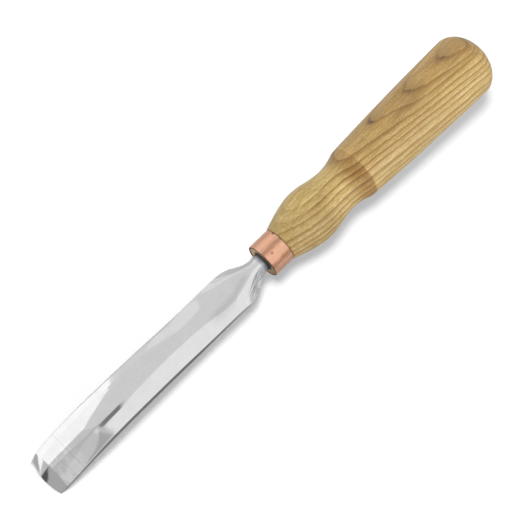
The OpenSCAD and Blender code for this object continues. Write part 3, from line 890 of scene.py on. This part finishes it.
lightLook = {
    "sky": 0.34, "seenSky": 1,
    "suns": {"windowLight": {"energy": 2.0, "angle": 22, "from": (0, 0.10, 1), "shadow": True},
             "fillLight": {"energy": 1.5, "angle": 60, "from": (0, -1, 0.2), "shadow": False}},
}

def makeWorld():
    world = bpy.data.worlds.new("studioWorld")
    world.use_nodes = True
    scene.world = world
    tree = world.node_tree
    background = tree.nodes["Background"]
    background.inputs["Color"].default_value = (1, 1, 1, 1)
    path = addNode(tree, "ShaderNodeLightPath")
    seen = path.outputs["Is Camera Ray"]
    for ray in ("Is Glossy Ray", "Is Transmission Ray"):
        seen = calculate("MAXIMUM", seen, path.outputs[ray])
    feed(background.inputs["Strength"], between(seen, 0, 1, lightLook["sky"], lightLook["seenSky"]))

def makeLights():
    for name, look in lightLook["suns"].items():
        lamp = bpy.data.lights.new(name, "SUN")
        lamp.energy = look["energy"]
        lamp.angle = math.radians(look["angle"])
        lamp.use_shadow = look["shadow"]
        sun = bpy.data.objects.new(name, lamp)
        sun.rotation_euler = Vector(look["from"]).to_track_quat("Z", "Y").to_euler()
        sun.visible_glossy = False
        scene.collection.objects.link(sun)

def makeCard(name, level, corners):
    # a panel that only gloss sees, drawn by its corners in mm from the mouth
    deselectAll()
    bpy.ops.mesh.primitive_circle_add(vertices=len(corners), radius=1, fill_type="NGON")
    card = bpy.context.active_object
    card.name = name
    for vertex, (x, y, z) in zip(card.data.vertices, corners):
        vertex.co = (mouthX + x * mm, y * mm, z * mm)
    material = bpy.data.materials.new(name)
    material.use_nodes = True
    tree = material.node_tree
    tree.nodes.remove(tree.nodes["Principled BSDF"])
    glow = addNode(tree, "ShaderNodeEmission")
    glow.inputs["Color"].default_value = (1, 1, 1, 1)
    glow.inputs["Strength"].default_value = level
    tree.links.new(glow.outputs[0], tree.nodes["Material Output"].inputs["Surface"])
    card.data.materials.append(material)
    card.visible_camera = card.visible_diffuse = card.visible_shadow = card.visible_transmission = False

def overhead(height, *corners):
    return [(x, y, height) for x, y in corners]

def upright(x0, y0, x1, y1, low, high):
    return [(x0, y0, low), (x1, y1, low), (x1, y1, high), (x0, y0, high)]

def wall(x0, y0, x1, y1):
    return upright(x0, y0, x1, y1, wallFoot, wallTop)

room = 2200  # from the mouth to each wall
wallFoot, wallTop = -60, 960
# each panel's level and corners
studioCards = {
    "ceiling": (0.75, overhead(wallTop, (-room, -room), (room, -room), (room, room), (-room, room))),
    "ceilingFront": (0.64, overhead(930, (-room, -room), (-150, -room), (-215, -330), (-300, 60), (-room, 300))),
    "softboxRight": (0.95, overhead(900, (-200, -330), (-2, -264), (75, -180), (190, -135), (room, -110),
                                    (room, -room), (-200, -room))),
    "softboxFront": (1.14, overhead(900, (-340, 312), (-130, 775), (40, 1300), (120, room), (-room, room),
                                    (-room, 1100), (-860, 528), (-500, 318))),
    "panelRear": (0.865, overhead(230, (50, 186), (85, 186), (112, 387), (152, 607), (285, 1151), (560, room - 20),
                                  (400, room - 20), (220, 1330), (135, 890), (60, 580), (49, 470), (45, 400),
                                  (43, 310), (43, 240))),
    "panelRearLow": (0.865, upright(415, room - 10, 980, room - 10, 0, 230)),
    "lensHood": (0.22, overhead(600, (-45, -74), (-45, -220), (-186, -220), (-196, -92), (-196, -74))),
    "hoodStrap": (0.56, overhead(598, (-190, -40), (-190, -75), (-230, -88), (-263, -108), (-296, -119),
                                 (-330, -139), (-366, -174), (-403, -227), (-480, -285), (-700, -420), (-700, 190),
                                 (-480, 84), (-403, 43), (-366, 20), (-330, -6), (-296, -15), (-263, -29),
                                 (-230, -27))),
    "wallLeftFront": (1.2, wall(-room, room, 150, room)),
    "wallLeftBack": (0.77, wall(150, room, room, room)),
    "wallRightFront": (0.64, wall(-room, -room, -140, -room)),
    "wallRightBack": (0.95, wall(-140, -room, 1100, -room)),
    "wallRightFar": (0.93, wall(1100, -room, room, -room)),
    "wallButtRight": (0.62, wall(room, -room, room, 0)),
    "wallButtLeft": (0.6, wall(room, 0, room, room)),
    # the bevel sees these three
    "screenTipRight": (0.47, upright(-1000, -900, -1000, 300, 10, 330)),
    "screenTipLeft": (0.6, upright(-1000, 300, -1000, 1500, 10, 330)),
    "screenGap": (0.1, [(-990, 12, 74), (-990, 150, 8), (-990, 298, 0), (-990, 298, 150), (-990, 140, 126)]),
    "beamRight": (0.47, overhead(890, (-198, -1609), (-233, -886), (-252, -567), (-260, -356), (-317, -612),
                                 (-374, -904), (-482, -1264), (-634, -1498), (-826, -1844))),
    "lampGlint": (0.80, overhead(885, (-260, -340), (-257, -110), (-291, -110), (-295, -341))),
    "ceilingSlot": (0.66, overhead(895, (-260, -53), (-484, 59), (-779, 205), (-1300, 450), (-1000, 560),
                                   (-700, 405), (-367, 325))),
}

makeFloor()
makeCamera()
makeWorld()
makeLights()
for name, (level, corners) in studioCards.items():
    makeCard(name, level, corners)
print("stage: done")
